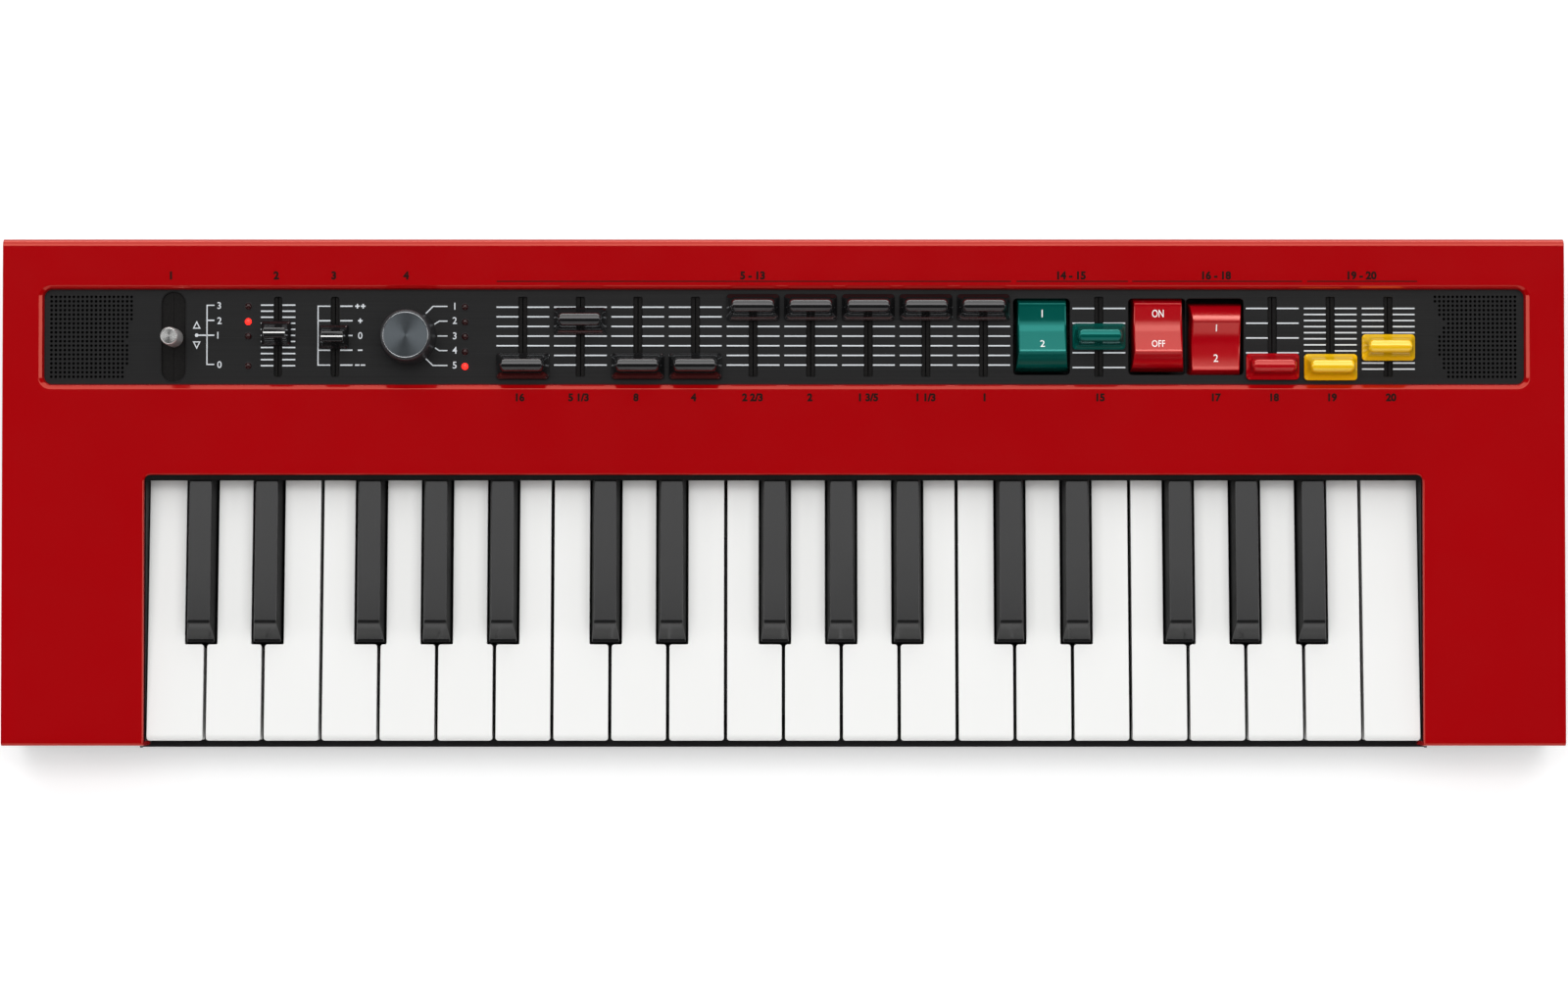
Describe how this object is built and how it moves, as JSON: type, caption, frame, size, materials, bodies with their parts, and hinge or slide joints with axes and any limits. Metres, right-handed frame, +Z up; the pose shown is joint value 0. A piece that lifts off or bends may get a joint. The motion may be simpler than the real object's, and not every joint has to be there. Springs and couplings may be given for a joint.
{
  "type": "combo organ",
  "caption": "Compact table-top combo organ with mini keys, drawbar-style sliders, rocker switches, a rotary-speed lever and a wave selector on a sloping panel.",
  "frame": {"origin": "middle of the footprint, on the table under the feet", "axes": "+X to the player's right along the keyboard, +Y to the rear, +Z up"},
  "size_m": [0.53, 0.1748, 0.0601],
  "materials": {
    "red_case": "satin red moulded plastic",
    "black_base": "fine-textured black moulded plastic",
    "black_panel": "matt black painted panel",
    "white_keys": "gloss white",
    "black_keys": "satin black",
    "black_caps": "satin black",
    "green_plastic": "satin green",
    "red_plastic": "satin red",
    "yellow_plastic": "satin yellow",
    "lever_metal": "turned, satin",
    "knob_metal": "dark spun metal"
  },
  "bodies": {
    "case": {"top_case": "red_case", "bottom_case": "black_base", "control_panel": "black_panel"},
    "key_C1": {"key_C1": "white_keys"},
    "key_Cs1": {"key_Cs1": "black_keys"},
    "key_D1": {"key_D1": "white_keys"},
    "key_Ds1": {"key_Ds1": "black_keys"},
    "key_E1": {"key_E1": "white_keys"},
    "key_F1": {"key_F1": "white_keys"},
    "key_Fs1": {"key_Fs1": "black_keys"},
    "key_G1": {"key_G1": "white_keys"},
    "key_Gs1": {"key_Gs1": "black_keys"},
    "key_A1": {"key_A1": "white_keys"},
    "key_As1": {"key_As1": "black_keys"},
    "key_B1": {"key_B1": "white_keys"},
    "key_C2": {"key_C2": "white_keys"},
    "key_Cs2": {"key_Cs2": "black_keys"},
    "key_D2": {"key_D2": "white_keys"},
    "key_Ds2": {"key_Ds2": "black_keys"},
    "key_E2": {"key_E2": "white_keys"},
    "key_F2": {"key_F2": "white_keys"},
    "key_Fs2": {"key_Fs2": "black_keys"},
    "key_G2": {"key_G2": "white_keys"},
    "key_Gs2": {"key_Gs2": "black_keys"},
    "key_A2": {"key_A2": "white_keys"},
    "key_As2": {"key_As2": "black_keys"},
    "key_B2": {"key_B2": "white_keys"},
    "key_C3": {"key_C3": "white_keys"},
    "key_Cs3": {"key_Cs3": "black_keys"},
    "key_D3": {"key_D3": "white_keys"},
    "key_Ds3": {"key_Ds3": "black_keys"},
    "key_E3": {"key_E3": "white_keys"},
    "key_F3": {"key_F3": "white_keys"},
    "key_Fs3": {"key_Fs3": "black_keys"},
    "key_G3": {"key_G3": "white_keys"},
    "key_Gs3": {"key_Gs3": "black_keys"},
    "key_A3": {"key_A3": "white_keys"},
    "key_As3": {"key_As3": "black_keys"},
    "key_B3": {"key_B3": "white_keys"},
    "key_C4": {"key_C4": "white_keys"},
    "volume_slider": {"volume_slider": "black_caps"},
    "octave_slider": {"octave_slider": "black_caps"},
    "footage_slider_1": {"footage_slider_1": "black_caps"},
    "footage_slider_2": {"footage_slider_2": "black_caps"},
    "footage_slider_3": {"footage_slider_3": "black_caps"},
    "footage_slider_4": {"footage_slider_4": "black_caps"},
    "footage_slider_5": {"footage_slider_5": "black_caps"},
    "footage_slider_6": {"footage_slider_6": "black_caps"},
    "footage_slider_7": {"footage_slider_7": "black_caps"},
    "footage_slider_8": {"footage_slider_8": "black_caps"},
    "footage_slider_9": {"footage_slider_9": "black_caps"},
    "depth_slider": {"depth_slider": "green_plastic"},
    "length_slider": {"length_slider": "red_plastic"},
    "distortion_slider": {"distortion_slider": "yellow_plastic"},
    "reverb_slider": {"reverb_slider": "yellow_plastic"},
    "vibrato_rocker": {"vibrato_rocker": "green_plastic"},
    "percussion_rocker": {"percussion_rocker": "red_plastic"},
    "percussion_type_rocker": {"percussion_type_rocker": "red_plastic"},
    "wave_knob": {"wave_knob": "knob_metal"},
    "rotary_speed_lever": {"rotary_speed_lever": "lever_metal"}
  },
  "joints": [
    {"name": "rotary_speed_tilt", "type": "hinge", "parent": "case", "child": "rotary_speed_lever", "pos_m": [-0.2073, 0.0529, 0.02361], "axis": [1, 0, 0], "range_deg": [-16, 16], "stiffness_Nm_per_rad": 0.05},
    {"name": "volume_slide", "type": "slide", "parent": "case", "child": "volume_slider", "axis": [0, 0.9954, 0.0958], "range_m": [-0.012, 0.008]},
    {"name": "octave_slide", "type": "slide", "parent": "case", "child": "octave_slider", "axis": [0, 0.9954, 0.0958], "range_m": [-0.01, 0.01]},
    {"name": "footage_1_slide", "type": "slide", "parent": "case", "child": "footage_slider_1", "axis": [0, 0.9954, 0.0958], "range_m": [0, 0.02]},
    {"name": "footage_2_slide", "type": "slide", "parent": "case", "child": "footage_slider_2", "axis": [0, 0.9954, 0.0958], "range_m": [-0.0154, 0.0046]},
    {"name": "footage_3_slide", "type": "slide", "parent": "case", "child": "footage_slider_3", "axis": [0, 0.9954, 0.0958], "range_m": [0, 0.02]},
    {"name": "footage_4_slide", "type": "slide", "parent": "case", "child": "footage_slider_4", "axis": [0, 0.9954, 0.0958], "range_m": [0, 0.02]},
    {"name": "footage_5_slide", "type": "slide", "parent": "case", "child": "footage_slider_5", "axis": [0, 0.9954, 0.0958], "range_m": [-0.02, 0]},
    {"name": "footage_6_slide", "type": "slide", "parent": "case", "child": "footage_slider_6", "axis": [0, 0.9954, 0.0958], "range_m": [-0.02, 0]},
    {"name": "footage_7_slide", "type": "slide", "parent": "case", "child": "footage_slider_7", "axis": [0, 0.9954, 0.0958], "range_m": [-0.02, 0]},
    {"name": "footage_8_slide", "type": "slide", "parent": "case", "child": "footage_slider_8", "axis": [0, 0.9954, 0.0958], "range_m": [-0.02, 0]},
    {"name": "footage_9_slide", "type": "slide", "parent": "case", "child": "footage_slider_9", "axis": [0, 0.9954, 0.0958], "range_m": [-0.02, 0]},
    {"name": "depth_slide", "type": "slide", "parent": "case", "child": "depth_slider", "axis": [0, 0.9954, 0.0958], "range_m": [-0.01, 0.01]},
    {"name": "length_slide", "type": "slide", "parent": "case", "child": "length_slider", "axis": [0, 0.9954, 0.0958], "range_m": [0, 0.02]},
    {"name": "distortion_slide", "type": "slide", "parent": "case", "child": "distortion_slider", "axis": [0, 0.9954, 0.0958], "range_m": [0, 0.02]},
    {"name": "reverb_slide", "type": "slide", "parent": "case", "child": "reverb_slider", "axis": [0, 0.9954, 0.0958], "range_m": [-0.0069, 0.0131]},
    {"name": "vibrato_rock", "type": "hinge", "parent": "case", "child": "vibrato_rocker", "pos_m": [0, 0.05211, 0.03177], "axis": [1, 0, 0], "range_deg": [0, 24]},
    {"name": "percussion_rock", "type": "hinge", "parent": "case", "child": "percussion_rocker", "pos_m": [0, 0.05211, 0.03177], "axis": [1, 0, 0], "range_deg": [0, 24]},
    {"name": "percussion_type_rock", "type": "hinge", "parent": "case", "child": "percussion_type_rocker", "pos_m": [0, 0.05211, 0.03177], "axis": [1, 0, 0], "range_deg": [-24, 0]},
    {"name": "wave_turn", "type": "hinge", "parent": "case", "child": "wave_knob", "pos_m": [-0.1273, 0.05071, 0.04631], "axis": [0, -0.0958, 0.9954], "continuous": true},
    {"name": "key_C1_press", "type": "hinge", "parent": "case", "child": "key_C1", "pos_m": [0, 0.028, 0.024], "axis": [1, 0, 0], "range_deg": [0, 2.8], "stiffness_Nm_per_rad": 0.3, "springref_deg": -5.73},
    {"name": "key_Cs1_press", "type": "hinge", "parent": "case", "child": "key_Cs1", "pos_m": [0, 0.028, 0.024], "axis": [1, 0, 0], "range_deg": [0, 2.8], "stiffness_Nm_per_rad": 0.3, "springref_deg": -5.73},
    {"name": "key_D1_press", "type": "hinge", "parent": "case", "child": "key_D1", "pos_m": [0, 0.028, 0.024], "axis": [1, 0, 0], "range_deg": [0, 2.8], "stiffness_Nm_per_rad": 0.3, "springref_deg": -5.73},
    {"name": "key_Ds1_press", "type": "hinge", "parent": "case", "child": "key_Ds1", "pos_m": [0, 0.028, 0.024], "axis": [1, 0, 0], "range_deg": [0, 2.8], "stiffness_Nm_per_rad": 0.3, "springref_deg": -5.73},
    {"name": "key_E1_press", "type": "hinge", "parent": "case", "child": "key_E1", "pos_m": [0, 0.028, 0.024], "axis": [1, 0, 0], "range_deg": [0, 2.8], "stiffness_Nm_per_rad": 0.3, "springref_deg": -5.73},
    {"name": "key_F1_press", "type": "hinge", "parent": "case", "child": "key_F1", "pos_m": [0, 0.028, 0.024], "axis": [1, 0, 0], "range_deg": [0, 2.8], "stiffness_Nm_per_rad": 0.3, "springref_deg": -5.73},
    {"name": "key_Fs1_press", "type": "hinge", "parent": "case", "child": "key_Fs1", "pos_m": [0, 0.028, 0.024], "axis": [1, 0, 0], "range_deg": [0, 2.8], "stiffness_Nm_per_rad": 0.3, "springref_deg": -5.73},
    {"name": "key_G1_press", "type": "hinge", "parent": "case", "child": "key_G1", "pos_m": [0, 0.028, 0.024], "axis": [1, 0, 0], "range_deg": [0, 2.8], "stiffness_Nm_per_rad": 0.3, "springref_deg": -5.73},
    {"name": "key_Gs1_press", "type": "hinge", "parent": "case", "child": "key_Gs1", "pos_m": [0, 0.028, 0.024], "axis": [1, 0, 0], "range_deg": [0, 2.8], "stiffness_Nm_per_rad": 0.3, "springref_deg": -5.73},
    {"name": "key_A1_press", "type": "hinge", "parent": "case", "child": "key_A1", "pos_m": [0, 0.028, 0.024], "axis": [1, 0, 0], "range_deg": [0, 2.8], "stiffness_Nm_per_rad": 0.3, "springref_deg": -5.73},
    {"name": "key_As1_press", "type": "hinge", "parent": "case", "child": "key_As1", "pos_m": [0, 0.028, 0.024], "axis": [1, 0, 0], "range_deg": [0, 2.8], "stiffness_Nm_per_rad": 0.3, "springref_deg": -5.73},
    {"name": "key_B1_press", "type": "hinge", "parent": "case", "child": "key_B1", "pos_m": [0, 0.028, 0.024], "axis": [1, 0, 0], "range_deg": [0, 2.8], "stiffness_Nm_per_rad": 0.3, "springref_deg": -5.73},
    {"name": "key_C2_press", "type": "hinge", "parent": "case", "child": "key_C2", "pos_m": [0, 0.028, 0.024], "axis": [1, 0, 0], "range_deg": [0, 2.8], "stiffness_Nm_per_rad": 0.3, "springref_deg": -5.73},
    {"name": "key_Cs2_press", "type": "hinge", "parent": "case", "child": "key_Cs2", "pos_m": [0, 0.028, 0.024], "axis": [1, 0, 0], "range_deg": [0, 2.8], "stiffness_Nm_per_rad": 0.3, "springref_deg": -5.73},
    {"name": "key_D2_press", "type": "hinge", "parent": "case", "child": "key_D2", "pos_m": [0, 0.028, 0.024], "axis": [1, 0, 0], "range_deg": [0, 2.8], "stiffness_Nm_per_rad": 0.3, "springref_deg": -5.73},
    {"name": "key_Ds2_press", "type": "hinge", "parent": "case", "child": "key_Ds2", "pos_m": [0, 0.028, 0.024], "axis": [1, 0, 0], "range_deg": [0, 2.8], "stiffness_Nm_per_rad": 0.3, "springref_deg": -5.73},
    {"name": "key_E2_press", "type": "hinge", "parent": "case", "child": "key_E2", "pos_m": [0, 0.028, 0.024], "axis": [1, 0, 0], "range_deg": [0, 2.8], "stiffness_Nm_per_rad": 0.3, "springref_deg": -5.73},
    {"name": "key_F2_press", "type": "hinge", "parent": "case", "child": "key_F2", "pos_m": [0, 0.028, 0.024], "axis": [1, 0, 0], "range_deg": [0, 2.8], "stiffness_Nm_per_rad": 0.3, "springref_deg": -5.73},
    {"name": "key_Fs2_press", "type": "hinge", "parent": "case", "child": "key_Fs2", "pos_m": [0, 0.028, 0.024], "axis": [1, 0, 0], "range_deg": [0, 2.8], "stiffness_Nm_per_rad": 0.3, "springref_deg": -5.73},
    {"name": "key_G2_press", "type": "hinge", "parent": "case", "child": "key_G2", "pos_m": [0, 0.028, 0.024], "axis": [1, 0, 0], "range_deg": [0, 2.8], "stiffness_Nm_per_rad": 0.3, "springref_deg": -5.73},
    {"name": "key_Gs2_press", "type": "hinge", "parent": "case", "child": "key_Gs2", "pos_m": [0, 0.028, 0.024], "axis": [1, 0, 0], "range_deg": [0, 2.8], "stiffness_Nm_per_rad": 0.3, "springref_deg": -5.73},
    {"name": "key_A2_press", "type": "hinge", "parent": "case", "child": "key_A2", "pos_m": [0, 0.028, 0.024], "axis": [1, 0, 0], "range_deg": [0, 2.8], "stiffness_Nm_per_rad": 0.3, "springref_deg": -5.73},
    {"name": "key_As2_press", "type": "hinge", "parent": "case", "child": "key_As2", "pos_m": [0, 0.028, 0.024], "axis": [1, 0, 0], "range_deg": [0, 2.8], "stiffness_Nm_per_rad": 0.3, "springref_deg": -5.73},
    {"name": "key_B2_press", "type": "hinge", "parent": "case", "child": "key_B2", "pos_m": [0, 0.028, 0.024], "axis": [1, 0, 0], "range_deg": [0, 2.8], "stiffness_Nm_per_rad": 0.3, "springref_deg": -5.73},
    {"name": "key_C3_press", "type": "hinge", "parent": "case", "child": "key_C3", "pos_m": [0, 0.028, 0.024], "axis": [1, 0, 0], "range_deg": [0, 2.8], "stiffness_Nm_per_rad": 0.3, "springref_deg": -5.73},
    {"name": "key_Cs3_press", "type": "hinge", "parent": "case", "child": "key_Cs3", "pos_m": [0, 0.028, 0.024], "axis": [1, 0, 0], "range_deg": [0, 2.8], "stiffness_Nm_per_rad": 0.3, "springref_deg": -5.73},
    {"name": "key_D3_press", "type": "hinge", "parent": "case", "child": "key_D3", "pos_m": [0, 0.028, 0.024], "axis": [1, 0, 0], "range_deg": [0, 2.8], "stiffness_Nm_per_rad": 0.3, "springref_deg": -5.73},
    {"name": "key_Ds3_press", "type": "hinge", "parent": "case", "child": "key_Ds3", "pos_m": [0, 0.028, 0.024], "axis": [1, 0, 0], "range_deg": [0, 2.8], "stiffness_Nm_per_rad": 0.3, "springref_deg": -5.73},
    {"name": "key_E3_press", "type": "hinge", "parent": "case", "child": "key_E3", "pos_m": [0, 0.028, 0.024], "axis": [1, 0, 0], "range_deg": [0, 2.8], "stiffness_Nm_per_rad": 0.3, "springref_deg": -5.73},
    {"name": "key_F3_press", "type": "hinge", "parent": "case", "child": "key_F3", "pos_m": [0, 0.028, 0.024], "axis": [1, 0, 0], "range_deg": [0, 2.8], "stiffness_Nm_per_rad": 0.3, "springref_deg": -5.73},
    {"name": "key_Fs3_press", "type": "hinge", "parent": "case", "child": "key_Fs3", "pos_m": [0, 0.028, 0.024], "axis": [1, 0, 0], "range_deg": [0, 2.8], "stiffness_Nm_per_rad": 0.3, "springref_deg": -5.73},
    {"name": "key_G3_press", "type": "hinge", "parent": "case", "child": "key_G3", "pos_m": [0, 0.028, 0.024], "axis": [1, 0, 0], "range_deg": [0, 2.8], "stiffness_Nm_per_rad": 0.3, "springref_deg": -5.73},
    {"name": "key_Gs3_press", "type": "hinge", "parent": "case", "child": "key_Gs3", "pos_m": [0, 0.028, 0.024], "axis": [1, 0, 0], "range_deg": [0, 2.8], "stiffness_Nm_per_rad": 0.3, "springref_deg": -5.73},
    {"name": "key_A3_press", "type": "hinge", "parent": "case", "child": "key_A3", "pos_m": [0, 0.028, 0.024], "axis": [1, 0, 0], "range_deg": [0, 2.8], "stiffness_Nm_per_rad": 0.3, "springref_deg": -5.73},
    {"name": "key_As3_press", "type": "hinge", "parent": "case", "child": "key_As3", "pos_m": [0, 0.028, 0.024], "axis": [1, 0, 0], "range_deg": [0, 2.8], "stiffness_Nm_per_rad": 0.3, "springref_deg": -5.73},
    {"name": "key_B3_press", "type": "hinge", "parent": "case", "child": "key_B3", "pos_m": [0, 0.028, 0.024], "axis": [1, 0, 0], "range_deg": [0, 2.8], "stiffness_Nm_per_rad": 0.3, "springref_deg": -5.73},
    {"name": "key_C4_press", "type": "hinge", "parent": "case", "child": "key_C4", "pos_m": [0, 0.028, 0.024], "axis": [1, 0, 0], "range_deg": [0, 2.8], "stiffness_Nm_per_rad": 0.3, "springref_deg": -5.73}
  ]
}
